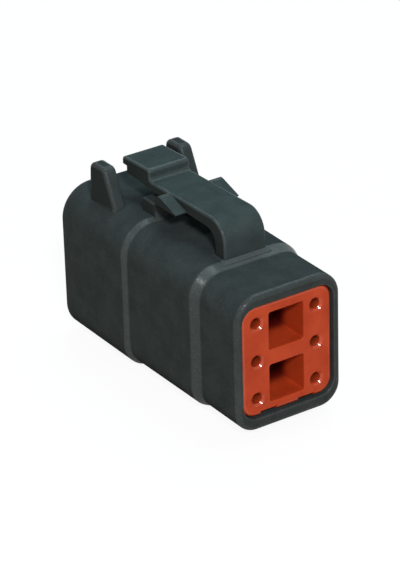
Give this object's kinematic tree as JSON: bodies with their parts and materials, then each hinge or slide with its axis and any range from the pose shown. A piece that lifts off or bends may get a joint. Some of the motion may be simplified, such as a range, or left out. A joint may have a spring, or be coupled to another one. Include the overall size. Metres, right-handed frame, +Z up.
{
  "type": "sealed automotive connector plug",
  "caption": "Sealed rectangular wire connector plug with a stepped housing, a press-down latch on top, a wedge lock in its mouth and a rubber wire seal at the rear.",
  "frame": {"origin": "below the middle of the plug, on the surface that it stands on", "axes": "+Y along the plug from its mouth to its wire end, +X across it, +Z up through the latch"},
  "size_m": [0.0168, 0.0364, 0.025],
  "materials": {
    "housing_plastic": "satin moulded",
    "wedge_plastic": "satin moulded",
    "seal_rubber": "matt silicone",
    "contact_metal": "plated",
    "hood_steel": "bright rolled"
  },
  "bodies": {
    "housing": {"plug_housing": "housing_plastic", "rear_wire_seal": "seal_rubber", "socket_contact_1": "contact_metal", "socket_contact_2": "contact_metal", "socket_contact_3": "contact_metal", "socket_contact_4": "contact_metal", "socket_contact_5": "contact_metal", "socket_contact_6": "contact_metal", "contact_hood_1": "hood_steel", "contact_hood_2": "hood_steel", "contact_hood_3": "hood_steel", "contact_hood_4": "hood_steel", "contact_hood_5": "hood_steel", "contact_hood_6": "hood_steel"},
    "latch": {"latch_lever": "housing_plastic"},
    "wedge": {"wedge_lock": "wedge_plastic"}
  },
  "joints": [
    {"name": "latch_press", "type": "hinge", "parent": "housing", "child": "latch", "pos_m": [0, -0.00863, 0.01917], "axis": [-1, 0, 0], "range_deg": [0, 3], "stiffness_Nm_per_rad": 1.5},
    {"name": "wedge_pull", "type": "slide", "parent": "housing", "child": "wedge", "axis": [0, -1, 0], "range_m": [0, 0.016]}
  ]
}
